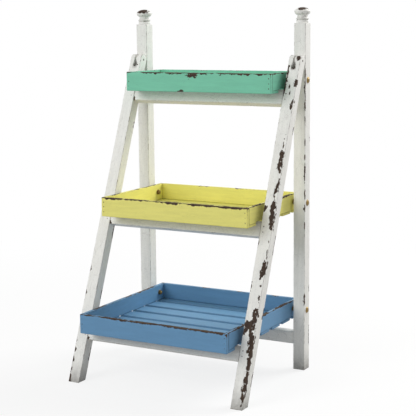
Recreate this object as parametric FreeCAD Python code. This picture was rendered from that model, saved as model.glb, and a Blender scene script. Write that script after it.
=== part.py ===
import FreeCAD, Part
import math
import os

# Folding three-tier plant stand of painted wood, in millimetres, +Z up.
# Pieces are worked out with y = 0 on the front face of the posts. Saving a piece moves it
# so that the origin is the middle of the stand's base.

# Heights, from the floor up
bottom_tray_rim = 181.0
middle_tray_rise = 283.0
top_tray_rise = 314.0
hinge_rise = 28.0
shoulder_rise = 94.0

# Posts and rear rail
post_width = 32.0
posts_inner_width = 435.0
rear_rail_below_tray = 31.0
rear_rail_height = 32.0
rear_rail_thickness = 28.0

# Turned finials
finial_height = 39.0
finial_dowel_diameter = 12.0
finial_dowel_length = 25.0
finial_collar_diameter = 31.0
finial_collar_height = 8.0
finial_groove_diameter = 27.0
finial_bead_diameter = 33.0
finial_bead_height = 4.5
finial_neck_diameter = 26.0
finial_knob_diameter = 41.0
finial_knob_height = 22.0
finial_crown_flat = 3.0

# Leaning front legs and the rails between them
lean_angle = 22.0
leg_width = 32.0
leg_thickness = 30.0
hinge_gap = 1.2
front_rail_height = 39.0
front_rail_thickness = 28.0
front_rail_setback = 1.0

# Mortise and tenon joints
tenon_length = 16.0
tenon_shoulder = 7.0
joint_clearance = 0.1
mortise_end_gap = 1.0

# Fork hinges at the top of the legs
hinge_slot_width = 9.0
hinge_slot_depth = 19.0
hinge_slot_hole_diameter = 10.0
hinge_pin_diameter = 7.0
hinge_pin_recess = 0.6
tongue_thickness = 6.0
tongue_nose_diameter = 22.0

# Trays, each of which reaches out in front of the legs
tray_height = 50.0
tray_side_gap = 8.0
tray_back_overhang = 34.0
top_tray_reach = 53.0
middle_tray_reach = 56.5
bottom_tray_reach = 51.0
board_thickness = 10.0

# Floor slats, laid from the back board forwards
slat_thickness = 7.0
slat_width = 47.0
slat_gap = 15.0
back_slat_width = 36.0
narrowest_slat = 18.0

# Notch in each tray side, which hooks over the front rail
notch_rise = 10.0
notch_front_room = 14.0
notch_back_room = 5.0
seat_gap = 0.3

# Bolts that the trays turn on
bolt_below_rim = 21.0
bolt_diameter = 6.0
bolt_head_diameter = 16.5
bolt_head_height = 4.0
bolt_tip_length = 2.0
washer_diameter = 14.0
washer_thickness = 1.2
nut_width = 10.0
nut_height = 5.0
running_clearance = 0.05

# Nails
nail_diameter = 2.0
nail_length = 20.0
nail_head_diameter = 4.5
nail_head_height = 1.0
nail_clearance = 0.05
board_nail_height_shares = (0.25, 0.5, 0.75)
board_nail_inset_share = 0.65
slat_nail_width_shares = (0.25, 0.75)
slat_nail_inset_share = 0.3
rail_nail_height_shares = (0.3, 0.7)

# Cuts run this far past the faces they open
overrun = 2.0

Vector = FreeCAD.Vector
X_AXIS = Vector(1, 0, 0)
Y_AXIS = Vector(0, 1, 0)
Z_AXIS = Vector(0, 0, 1)
lean_sine = math.sin(math.radians(lean_angle))
lean_cosine = math.cos(math.radians(lean_angle))

# Places that several pieces share
middle_tray_rim = bottom_tray_rim + middle_tray_rise
top_tray_rim = middle_tray_rim + top_tray_rise
hinge_height = top_tray_rim + hinge_rise
post_height = hinge_height + shoulder_rise
post_inside = posts_inner_width / 2
post_outside = post_inside + post_width
post_middle_x = post_inside + post_width / 2
post_middle_y = post_width / 2
leg_middle_x = post_inside + leg_width / 2
leg_front = -leg_thickness / 2
rail_front = leg_front + front_rail_setback
hinge_y = leg_front - hinge_gap
tray_rims = (top_tray_rim, middle_tray_rim, bottom_tray_rim)
tray_half_width = post_inside - tray_side_gap
tray_wall_inside = tray_half_width - board_thickness
tray_back = post_middle_y + tray_back_overhang


def leaning_y(depth, height):
    """The y, at this height, of a plane that leans with the legs and lies at this depth from the pins."""
    down_leg = (hinge_height - depth * lean_sine - height) / lean_cosine
    return hinge_y + depth * lean_cosine - down_leg * lean_sine


def tray_front(rim, reach):
    return leaning_y(leg_front, rim - tray_height) - reach


stand_front = min(leaning_y(leg_front, 0), tray_front(bottom_tray_rim, bottom_tray_reach))
to_base_middle = Vector(0, -(stand_front + tray_back) / 2, 0)


# Small helpers
def block(low, high):
    size = high - low
    return Part.makeBox(size.x, size.y, size.z, low)


def rod(diameter, start, direction, length):
    return Part.makeCylinder(diameter / 2, length, start, direction)


def ring(outer, bore, start, direction, length):
    return rod(outer, start, direction, length).cut(rod(bore, start, direction, length))


def mirrored(shape):
    return shape.mirror(Vector(0, 0, 0), X_AXIS)


def both_sides(solids):
    return solids + [mirrored(solid) for solid in solids]


def turned(edges):
    """Spins an outline drawn in the XZ plane about the vertical axis."""
    return Part.Face(Part.Wire(edges)).revolve(Vector(0, 0, 0), Z_AXIS, 360)


def leaning(shape):
    """Takes a piece drawn with the hinge pin at zero and the leg hanging straight down to its place."""
    placed = shape.copy()
    placed.rotate(Vector(0, 0, 0), X_AXIS, -lean_angle)
    placed.translate(Vector(0, hinge_y, hinge_height))
    return placed


def save(node, shape):
    placed = shape.copy()
    placed.translate(to_base_middle)
    assert placed.isValid() and placed.Volume > 0, node
    placed.exportStep("parts/" + node + ".step")


# Nails and the holes they fill
def nail(seat, direction):
    head = rod(nail_head_diameter, seat, direction, nail_head_height)
    return head.fuse(rod(nail_diameter, seat, direction, nail_length))


def nail_hole(seat, direction):
    mouth = seat - direction * overrun
    head = rod(nail_head_diameter + 2 * nail_clearance, mouth, direction, overrun + nail_head_height)
    shank_length = overrun + nail_length + nail_clearance
    return head.fuse(rod(nail_diameter + 2 * nail_clearance, mouth, direction, shank_length))


def nailed(board, seats, direction):
    return board.cut([nail_hole(seat, direction) for seat in seats])


# Rails with a tenon at each end
def tenoned_rail(low, high):
    body = block(low, high)
    shoulders = Vector(0, tenon_shoulder, tenon_shoulder)
    reach = Vector(tenon_length, 0, 0)
    tongue = block(low - reach + shoulders, high + reach - shoulders)
    return body.fuse(tongue).removeSplitter()


def mortise(low, high):
    """The socket, in the right-hand post or leg, for the tenon of the rail that these corners give."""
    play = Vector(0, joint_clearance, joint_clearance)
    shoulders = Vector(0, tenon_shoulder, tenon_shoulder) - play
    start = Vector(high.x, low.y, low.z) + shoulders
    end = high + Vector(tenon_length + mortise_end_gap, 0, 0) - shoulders
    return block(start, end)


def rear_rail_corners():
    y = post_middle_y - rear_rail_thickness / 2
    top = bottom_tray_rim - tray_height - rear_rail_below_tray
    low = Vector(-post_inside, y, top - rear_rail_height)
    return low, Vector(post_inside, y + rear_rail_thickness, top)


# Finial
def outline_point(diameter, height):
    return Vector(diameter / 2, 0, height)


def finial():
    neck_angle = -math.acos(finial_neck_diameter / finial_knob_diameter)
    crown_angle = math.acos(finial_crown_flat / finial_knob_diameter)
    half_knob = finial_knob_height / 2
    knob_middle = finial_height - half_knob * math.sin(crown_angle)
    knob_bottom = knob_middle + half_knob * math.sin(neck_angle)
    bead_middle = finial_collar_height + finial_bead_height / 2
    bead_top = outline_point(finial_neck_diameter, finial_collar_height + finial_bead_height)
    groove = outline_point(finial_groove_diameter, finial_collar_height)
    crown_edge = outline_point(finial_crown_flat, finial_height)
    corners = [
        crown_edge,
        outline_point(0, finial_height),
        outline_point(0, -finial_dowel_length),
        outline_point(finial_dowel_diameter, -finial_dowel_length),
        outline_point(finial_dowel_diameter, 0),
        outline_point(finial_collar_diameter, 0),
        outline_point(finial_collar_diameter, finial_collar_height),
        groove,
    ]
    edges = [Part.makeLine(a, b) for a, b in zip(corners, corners[1:])]
    edges.append(Part.Arc(groove, outline_point(finial_bead_diameter, bead_middle), bead_top).toShape())
    edges.append(Part.makeLine(bead_top, outline_point(finial_neck_diameter, knob_bottom)))
    widest = outline_point(finial_knob_diameter, knob_middle)
    highest = outline_point(0, knob_middle + half_knob)
    ellipse = Part.Ellipse(widest, highest, outline_point(0, knob_middle))
    edges.append(Part.ArcOfEllipse(ellipse, neck_angle, crown_angle).toShape())
    solid = turned(edges)
    solid.translate(Vector(post_middle_x, post_middle_y, post_height))
    return solid


# Hinge tongue on the front of a post
def tongue():
    nose = Vector(leg_middle_x - tongue_thickness / 2, hinge_y, hinge_height)
    low = nose - Vector(0, 0, tongue_nose_diameter / 2)
    high = Vector(nose.x + tongue_thickness, tenon_length, hinge_height + tongue_nose_diameter / 2)
    plate = block(low, high).fuse(rod(tongue_nose_diameter, nose, X_AXIS, tongue_thickness))
    bore = rod(hinge_pin_diameter + 2 * running_clearance, nose, X_AXIS, tongue_thickness)
    return plate.removeSplitter().cut(bore)


def tongue_socket():
    half_width = tongue_thickness / 2 + joint_clearance
    half_height = tongue_nose_diameter / 2 + joint_clearance
    low = Vector(leg_middle_x - half_width, -overrun, hinge_height - half_height)
    depth = tenon_length + mortise_end_gap
    return block(low, Vector(leg_middle_x + half_width, depth, hinge_height + half_height))


# Rear post
def bolt_axis(rim):
    return Vector(0, post_middle_y, rim - bolt_below_rim)


def bolt_bore(rim, start, end):
    place = bolt_axis(rim) + X_AXIS * (start - overrun)
    return rod(bolt_diameter + 2 * running_clearance, place, X_AXIS, end - start + 2 * overrun)


def rear_post():
    solid = block(Vector(post_inside, 0, 0), Vector(post_outside, post_width, post_height))
    top = Vector(post_middle_x, post_middle_y, post_height + overrun)
    dowel_hole_depth = overrun + finial_dowel_length + mortise_end_gap
    cuts = [
        mortise(*rear_rail_corners()),
        tongue_socket(),
        rod(finial_dowel_diameter + 2 * joint_clearance, top, -Z_AXIS, dowel_hole_depth),
    ]
    cuts += [bolt_bore(rim, post_inside, post_outside) for rim in tray_rims]
    return solid.cut(cuts)


# Front rails and legs, drawn with the hinge pin at zero and the leg hanging straight down
def front_rail_corners(rim):
    top_edge = rim - tray_height + notch_rise - seat_gap
    down_leg = (hinge_height - rail_front * lean_sine - top_edge) / lean_cosine
    low = Vector(-post_inside, rail_front, -down_leg - front_rail_height)
    return low, Vector(post_inside, rail_front + front_rail_thickness, -down_leg)


def rail_nail_seats(rim):
    low, high = front_rail_corners(rim)
    tenon_low = low.z + tenon_shoulder
    tenon_height = front_rail_height - 2 * tenon_shoulder
    x = post_inside + tenon_length / 2
    return [Vector(x, leg_front, tenon_low + tenon_height * share) for share in rail_nail_height_shares]


def front_rail(rim):
    right = rail_nail_seats(rim)
    left = [Vector(-seat.x, seat.y, seat.z) for seat in right]
    return nailed(tenoned_rail(*front_rail_corners(rim)), right + left, Y_AXIS)


def leg_blank():
    half = leg_thickness / 2
    front_foot = Vector(post_inside, -half, (-half * lean_sine - hinge_height) / lean_cosine)
    back_foot = Vector(post_inside, half, (half * lean_sine - hinge_height) / lean_cosine)
    back_top = Vector(post_inside, half, 0)
    front_top = Vector(post_inside, -half, 0)
    crown = Vector(post_inside, 0, half)
    edges = [
        Part.makeLine(front_foot, back_foot),
        Part.makeLine(back_foot, back_top),
        Part.Arc(back_top, crown, front_top).toShape(),
        Part.makeLine(front_top, front_foot),
    ]
    return Part.Face(Part.Wire(edges)).extrude(X_AXIS * leg_width)


def hinge_slot():
    half_width = hinge_slot_width / 2
    depth = leg_thickness / 2 + overrun
    low = Vector(leg_middle_x - half_width, -depth, -hinge_slot_depth)
    slot = block(low, Vector(leg_middle_x + half_width, depth, depth))
    hole_start = Vector(leg_middle_x, -depth, -hinge_slot_depth)
    return slot.fuse(rod(hinge_slot_hole_diameter, hole_start, Y_AXIS, 2 * depth))


def front_leg():
    bore_start = Vector(post_inside - overrun, 0, 0)
    bore_length = leg_width + 2 * overrun
    cuts = [
        hinge_slot(),
        rod(hinge_pin_diameter + 2 * running_clearance, bore_start, X_AXIS, bore_length),
    ]
    for rim in tray_rims:
        cuts.append(mortise(*front_rail_corners(rim)))
        cuts += [nail_hole(seat, Y_AXIS) for seat in rail_nail_seats(rim)]
    return leg_blank().cut(cuts)


def hinge_pin():
    start = Vector(post_inside + hinge_pin_recess, 0, 0)
    return rod(hinge_pin_diameter, start, X_AXIS, leg_width - 2 * hinge_pin_recess)


# Bolts, spacers, washers and nuts on the right-hand side of a tray
def bolt(rim):
    axis = bolt_axis(rim)
    tip = tray_wall_inside - seat_gap - washer_thickness - nut_height - bolt_tip_length
    shank = rod(bolt_diameter, axis + X_AXIS * tip, X_AXIS, post_outside - tip)
    ball_radius = (bolt_head_diameter ** 2 / 4 + bolt_head_height ** 2) / (2 * bolt_head_height)
    slope = math.asin(bolt_head_diameter / 2 / ball_radius) / 2
    drop = ball_radius * (1 - math.cos(slope))
    crown = Vector(0, 0, bolt_head_height)
    edge = Vector(bolt_head_diameter / 2, 0, 0)
    on_dome = Vector(ball_radius * math.sin(slope), 0, bolt_head_height - drop)
    dome = turned([
        Part.makeLine(crown, Vector(0, 0, 0)),
        Part.makeLine(Vector(0, 0, 0), edge),
        Part.Arc(edge, on_dome, crown).toShape(),
    ])
    dome.rotate(Vector(0, 0, 0), Y_AXIS, 90)
    dome.translate(axis + X_AXIS * post_outside)
    return dome.fuse(shank)


def spacer(rim):
    start = bolt_axis(rim) + X_AXIS * post_inside
    bore = bolt_diameter + 2 * running_clearance
    return ring(washer_diameter, bore, start, -X_AXIS, tray_side_gap - seat_gap)


def washer(rim):
    start = bolt_axis(rim) + X_AXIS * (tray_wall_inside - seat_gap)
    bore = bolt_diameter + 2 * running_clearance
    return ring(washer_diameter, bore, start, -X_AXIS, washer_thickness)


def nut(rim):
    start = bolt_axis(rim) + X_AXIS * (tray_wall_inside - seat_gap - washer_thickness)
    corner = nut_width / math.sqrt(3)
    angles = [math.radians(60 * step) for step in range(7)]
    outline = [start + Y_AXIS * (corner * math.cos(a)) + Z_AXIS * (corner * math.sin(a)) for a in angles]
    prism = Part.Face(Part.makePolygon(outline)).extrude(-X_AXIS * nut_height)
    return prism.cut(rod(bolt_diameter + 2 * running_clearance, start, -X_AXIS, nut_height))


# Trays
class Tray:
    """A shallow box of four boards with a slatted floor, notched underneath to hook over a front rail."""

    def __init__(self, rim, reach):
        self.rim = rim
        self.underside = rim - tray_height
        self.side_bottom = self.underside + slat_thickness
        self.front = tray_front(rim, reach)
        self.inner_front = self.front + board_thickness
        self.inner_back = tray_back - board_thickness
        rail_edge = leaning_y(rail_front, self.underside + notch_rise - seat_gap)
        rail_top_run = notch_rise * lean_cosine / lean_sine
        self.notch_front = rail_edge - notch_front_room
        self.notch_back = rail_edge + rail_top_run + notch_back_room
        self.front_nails = self.board_nail_seats(self.front)
        self.back_nails = self.board_nail_seats(tray_back)

    def board_nail_seats(self, y):
        x = tray_half_width - board_thickness * board_nail_inset_share
        heights = [self.underside + tray_height * share for share in board_nail_height_shares]
        return [Vector(side * x, y, z) for side in (1, -1) for z in heights]

    def slat_nail_seats(self, front, back):
        x = tray_half_width - board_thickness * slat_nail_inset_share
        width_under_side = min(back, self.inner_back) - front
        places = [front + width_under_side * share for share in slat_nail_width_shares]
        return [Vector(side * x, y, self.underside) for side in (1, -1) for y in places]

    def slat_spans(self):
        """Front and back edge of each slat, the front one first. None lies across the notches."""
        spans = [(tray_back - back_slat_width, tray_back)]
        edge = tray_back - back_slat_width - slat_gap
        while edge - self.notch_back > slat_width + slat_gap + narrowest_slat:
            spans.append((edge - slat_width, edge))
            edge -= slat_width + slat_gap
        spans.append((self.notch_back, edge))
        spans.append((self.inner_front, self.notch_front))
        return spans[::-1]

    def all_slat_nail_seats(self):
        return [seat for span in self.slat_spans() for seat in self.slat_nail_seats(*span)]

    def front_board(self):
        low = Vector(-tray_half_width, self.front, self.underside)
        board = block(low, Vector(tray_half_width, self.inner_front, self.rim))
        return nailed(board, self.front_nails, Y_AXIS)

    def back_board(self):
        low = Vector(-tray_half_width, self.inner_back, self.side_bottom)
        board = block(low, Vector(tray_half_width, tray_back, self.rim))
        return nailed(board, self.back_nails, -Y_AXIS)

    def right_side(self):
        low = Vector(tray_wall_inside, self.inner_front, self.side_bottom)
        board = block(low, Vector(tray_half_width, self.inner_back, self.rim))
        notch_low = Vector(tray_wall_inside - overrun, self.notch_front, self.underside)
        notch_high = Vector(tray_half_width + overrun, self.notch_back, self.underside + notch_rise)
        bore = bolt_bore(self.rim, tray_wall_inside, tray_half_width)
        board = board.cut([block(notch_low, notch_high), bore])
        board = nailed(board, self.front_nails, Y_AXIS)
        board = nailed(board, self.back_nails, -Y_AXIS)
        return nailed(board, self.all_slat_nail_seats(), Z_AXIS)

    def slat(self, front, back):
        low = Vector(-tray_half_width, front, self.underside)
        board = block(low, Vector(tray_half_width, back, self.side_bottom))
        return nailed(board, self.slat_nail_seats(front, back), Z_AXIS)

    def nails(self):
        nails = [nail(seat, Y_AXIS) for seat in self.front_nails]
        nails += [nail(seat, -Y_AXIS) for seat in self.back_nails]
        nails += [nail(seat, Z_AXIS) for seat in self.all_slat_nail_seats()]
        return Part.makeCompound(nails)


os.makedirs("parts", exist_ok=True)

# Rear frame
for name, piece in (("rear_post", rear_post()), ("finial", finial()), ("hinge_tongue", tongue())):
    save("right_" + name, piece)
    save("left_" + name, mirrored(piece))
save("rear_rail", tenoned_rail(*rear_rail_corners()))
for name, fastener in (("bolts", bolt), ("spacers", spacer), ("washers", washer), ("nuts", nut)):
    save("tray_" + name, Part.makeCompound(both_sides([fastener(rim) for rim in tray_rims])))

# Front frame
right_leg = leaning(front_leg())
save("right_front_leg", right_leg)
save("left_front_leg", mirrored(right_leg))
save("hinge_pins", Part.makeCompound(both_sides([leaning(hinge_pin())])))
rail_nails = []
for name, rim in zip(("top", "middle", "bottom"), tray_rims):
    save(name + "_front_rail", leaning(front_rail(rim)))
    rail_nails += [leaning(nail(seat, Y_AXIS)) for seat in rail_nail_seats(rim)]
save("rail_nails", Part.makeCompound(both_sides(rail_nails)))

# Trays
trays = {
    "top_tray": Tray(top_tray_rim, top_tray_reach),
    "middle_tray": Tray(middle_tray_rim, middle_tray_reach),
    "bottom_tray": Tray(bottom_tray_rim, bottom_tray_reach),
}
for name, tray in trays.items():
    save(name + "_front_board", tray.front_board())
    save(name + "_back_board", tray.back_board())
    save(name + "_right_side", tray.right_side())
    save(name + "_left_side", mirrored(tray.right_side()))
    for number, span in enumerate(tray.slat_spans(), 1):
        save(name + "_slat_" + str(number), tray.slat(*span))
    save(name + "_nails", tray.nails())
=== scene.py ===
"""Folding three-tier plant stand in chipped paint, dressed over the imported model's frame."""
import math
import zlib

import bpy
import numpy as np
from bpy.props import FloatProperty, FloatVectorProperty, PointerProperty
from mathutils import Matrix, Vector, noise


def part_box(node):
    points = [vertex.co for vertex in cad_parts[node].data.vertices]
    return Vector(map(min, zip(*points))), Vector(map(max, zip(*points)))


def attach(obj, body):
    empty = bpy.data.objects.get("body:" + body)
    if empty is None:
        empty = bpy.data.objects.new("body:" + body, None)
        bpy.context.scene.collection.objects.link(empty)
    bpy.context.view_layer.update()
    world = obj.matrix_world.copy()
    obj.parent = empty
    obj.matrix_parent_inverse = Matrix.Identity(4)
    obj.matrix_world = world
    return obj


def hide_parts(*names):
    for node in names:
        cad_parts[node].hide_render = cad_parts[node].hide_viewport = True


bl_info = {
    "name": "Folding Plant Stand",
    "version": (1, 0, 0),
    "blender": (4, 5, 0),
    "location": "View3D > Sidebar > Plant Stand",
    "description": "Three painted trays on a folding wooden stand",
    "category": "Add Mesh",
}

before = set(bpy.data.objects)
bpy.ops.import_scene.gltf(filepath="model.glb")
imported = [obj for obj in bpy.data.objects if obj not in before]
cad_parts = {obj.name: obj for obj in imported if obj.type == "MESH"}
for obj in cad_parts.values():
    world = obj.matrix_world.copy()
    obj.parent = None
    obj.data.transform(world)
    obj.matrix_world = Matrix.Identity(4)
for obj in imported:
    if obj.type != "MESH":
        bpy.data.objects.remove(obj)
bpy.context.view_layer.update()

MM = 0.001
SIDES = ("left", "right")
# The paint of each tray and the number of slats in its floor
TRAYS = {"top": "green", "middle": "yellow", "bottom": "blue"}
SLATS = {"top": 3, "middle": 5, "bottom": 7}
FRONT_RAILS = [f"{tray}_front_rail" for tray in TRAYS]
BOLT_BELOW_RIM = 21 * MM
# How far a cut runs past the piece that it is made in, in metres
OVERRUN = 1.0
# Lengths that count as the same, and the least that is divided by
SAME = 1e-6
LEAST = 1e-9


def middle_of(node):
    """The middle of a node's box."""
    low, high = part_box(node)
    return (low + high) / 2


PIN_POINT = middle_of("hinge_pins")


def tint(red, green, blue):
    """A colour written in screen values from 0 to 255, as the linear colour a shader takes."""
    def straight(level):
        level /= 255
        return level / 12.92 if level <= 0.04045 else ((level + 0.055) / 1.055) ** 2.4
    return tuple(straight(level) for level in (red, green, blue))


def shade(colour, level):
    """A lighter or darker version of a linear colour, with full alpha."""
    return tuple(min(1.0, part * level) for part in colour[:3]) + (1.0,)


# Sizes and colours that a user would change

def length(name, description, default, low=0.0, high=0.1):
    """A length in metres."""
    return FloatProperty(name=name, description=description, default=default, min=low, max=high,
                         subtype="DISTANCE", unit="LENGTH", precision=5)


def paint(name, description, default):
    """A linear colour."""
    return FloatVectorProperty(name=name, description=description, default=default, size=3,
                               min=0.0, max=1.0, subtype="COLOR")


def angle(name, description, degrees):
    """An angle, given in degrees."""
    return FloatProperty(name=name, description=description, default=math.radians(degrees),
                         subtype="ANGLE", unit="ROTATION")


def power(name, description, watts):
    """A lamp's power."""
    return FloatProperty(name=name, description=description, default=watts, min=0.0, unit="POWER")


def part_of_one(name, description, default):
    """A share from 0 to 1."""
    return FloatProperty(name=name, description=description, default=default, min=0.0, max=1.0,
                         subtype="FACTOR")


class StandWood(bpy.types.PropertyGroup):
    """Sizes of the wood's own shape."""
    edge_radius: length("Edge radius", "How far the boards' edges are rounded over", 1.2 * MM)
    waviness: length("Waviness", "How far the planed faces dip", 0.35 * MM)
    skin: length("Skin", "How far the faces lie inside the drawn size", 0.15 * MM)
    chip_depth: length("Chip depth", "How deep a chip is in paint and wood", 0.5 * MM)
    edge_bite: length("Edge bite", "How deep the worn edges are eaten here and there", 0.9 * MM)
    lean: angle("Lean", "Lean of the front legs", 22)
    grid_step: length("Grid step", "Spacing of the mesh along a board", 7 * MM, 1 * MM)


class StandMetal(bpy.types.PropertyGroup):
    """Sizes of the bolts, nuts, pins and nails."""
    bolt_head: length("Bolt head", "Radius of a bolt's domed head", 8.25 * MM)
    bolt_dome: length("Bolt dome", "Height of a bolt's domed head", 4.0 * MM)
    bolt_stem: length("Bolt stem", "Radius of a bolt's stem", 2.95 * MM)
    bore: length("Bore", "Radius of the hole in spacers and washers", 3.1 * MM)
    disc: length("Disc", "Outer radius of spacers and washers", 6.95 * MM)
    nut: length("Nut", "From a nut's axis to its flat sides", 5.0 * MM)
    pin: length("Pin", "Radius of the hinge pins", 3.45 * MM)
    tray_nail: length("Tray nail", "Radius of the head of a tray's nail", 1.7 * MM)
    rail_nail: length("Rail nail", "Radius of the head of a rail's nail", 1.8 * MM)


class StandPaint(bpy.types.PropertyGroup):
    """Colours of the paint, wood and metal."""
    white: paint("White paint", "Posts, legs and rails", tint(245, 244, 239))
    green: paint("Green paint", "Top tray", tint(122, 203, 172))
    yellow: paint("Yellow paint", "Middle tray", tint(240, 233, 130))
    blue: paint("Blue paint", "Bottom tray", tint(103, 150, 189))
    bare: paint("Bare wood", "Dark wood under the paint", tint(64, 46, 37))
    bare_pale: paint("Pale bare wood", "Lighter streaks of the bare wood", tint(126, 105, 79))
    # Grime also colours painted shade on the white frame, under the trays and in the forks' holes
    grime: paint("Grime", "Dirt on the feet and in corners", tint(84, 78, 70))
    brass: paint("Brass", "Bolts, washers and nuts", tint(142, 120, 78))
    tarnish: paint("Tarnish", "Patches on the brass", tint(74, 58, 38))
    steel: paint("Steel", "Nails and pins", tint(92, 84, 78))
    rust: paint("Rust", "Patches on the steel", tint(66, 46, 36))
    tray_wear: length("Tray wear", "How far the trays' rims are worn bare", 3.6 * MM)
    frame_wear: length("Frame wear", "How far the frame's edges are worn bare", 2.6 * MM)


class StandStage(bpy.types.PropertyGroup):
    """Camera, lamps and floor."""
    azimuth: angle("Azimuth", "Camera's turn round the stand", 28.803)
    elevation: angle("Elevation", "Camera's height angle", 9.076)
    roll: angle("Roll", "Camera's tilt about its own axis", -0.524)
    place: FloatVectorProperty(name="Place", description="Where the camera stands",
                               default=(1.4379, -2.5223, 0.9000), size=3, subtype="TRANSLATION",
                               unit="LENGTH")
    lens: FloatProperty(name="Lens", description="Focal length on a 36 mm sensor", default=99.84,
                        min=1.0, unit="CAMERA")
    key_power: power("Key lamp", "Power of the lamp behind at the right", 96.0)
    fill_power: power("Fill lamp", "Power of the lamp at the front", 66.0)
    room_light: part_of_one("Room light", "Even light from all round", 0.46)
    floor_size: length("Floor size", "Length of the floor's side", 14.0, 1.0, 100.0)
    floor_white: part_of_one("Floor white", "How far the floor is whitened to the lens", 0.8)


# Shaders

class Wire:
    """A shader socket used in plain arithmetic, where each step adds a Math or Vector Math node."""

    def __init__(self, mixer, socket):
        self.mixer = mixer
        self.socket = socket

    def step(self, operation, *terms):
        """One node of maths on wires and numbers."""
        arrow = any(isinstance(term, Wire) and term.socket.type == "VECTOR" for term in terms)
        kind = "ShaderNodeVectorMath" if arrow else "ShaderNodeMath"
        return self.mixer.add(kind, {"operation": operation}, dict(enumerate(terms)))

    def __add__(self, other):
        return self.step("ADD", self, other)

    def __radd__(self, other):
        return self.step("ADD", other, self)

    def __sub__(self, other):
        return self.step("SUBTRACT", self, other)

    def __rsub__(self, other):
        return self.step("SUBTRACT", other, self)

    def __mul__(self, other):
        return self.step("MULTIPLY", self, other)

    def __rmul__(self, other):
        return self.step("MULTIPLY", other, self)

    def most(self, other):
        """The larger of two values."""
        return self.step("MAXIMUM", self, other)


class Mixer:
    """The node tree of a material or a world and the one way its nodes are added."""

    def __init__(self, owner):
        owner.use_nodes = True
        self.owner = owner
        self.tree = owner.node_tree
        self.tree.nodes.clear()

    def add(self, kind, settings=None, sockets=None, out=0):
        """A node with its settings and what goes into its sockets; gives the wire from one output."""
        made = self.tree.nodes.new(kind)
        for key, value in (settings or {}).items():
            setattr(made, key, value)
        for key, value in (sockets or {}).items():
            if isinstance(value, Wire):
                self.tree.links.new(value.socket, made.inputs[key])
            else:
                made.inputs[key].default_value = value
        return Wire(self, made.outputs[out]) if len(made.outputs) else made

    def read(self, name, out="Fac"):
        """One of the marks that a mesh carries."""
        return self.add("ShaderNodeAttribute", {"attribute_name": name}, out=out)

    def cloud(self, where, scale, detail, roughness=0.55):
        """Soft noise."""
        return self.add("ShaderNodeTexNoise", None,
                        {"Vector": where, "Scale": scale, "Detail": detail, "Roughness": roughness})

    def cells(self, where, scale, **settings):
        """A pattern of flakes or cracks."""
        return self.add("ShaderNodeTexVoronoi", settings, {"Vector": where, "Scale": scale})

    def ease(self, value, low, high):
        """A smooth step from 0 at low to 1 at high."""
        return self.add("ShaderNodeMapRange", {"interpolation_type": "SMOOTHSTEP"},
                        {"Value": value, "From Min": low, "From Max": high})

    def blend(self, factor, first, second):
        """A mix of two colours."""
        return self.add("ShaderNodeMix", {"data_type": "RGBA"}, {0: factor, 6: first, 7: second}, out=2)

    def relief(self, height, strength, distance):
        """A surface direction that follows a height."""
        return self.add("ShaderNodeBump", None,
                        {"Strength": strength, "Distance": distance, "Height": height})

    def close(self, **sockets):
        """Finishes a material whose surface takes these sockets."""
        named = {key.replace("_", " "): value for key, value in sockets.items()}
        skin = self.add("ShaderNodeBsdfPrincipled", None, named)
        self.add("ShaderNodeOutputMaterial", None, {"Surface": skin})
        return self.owner


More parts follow.
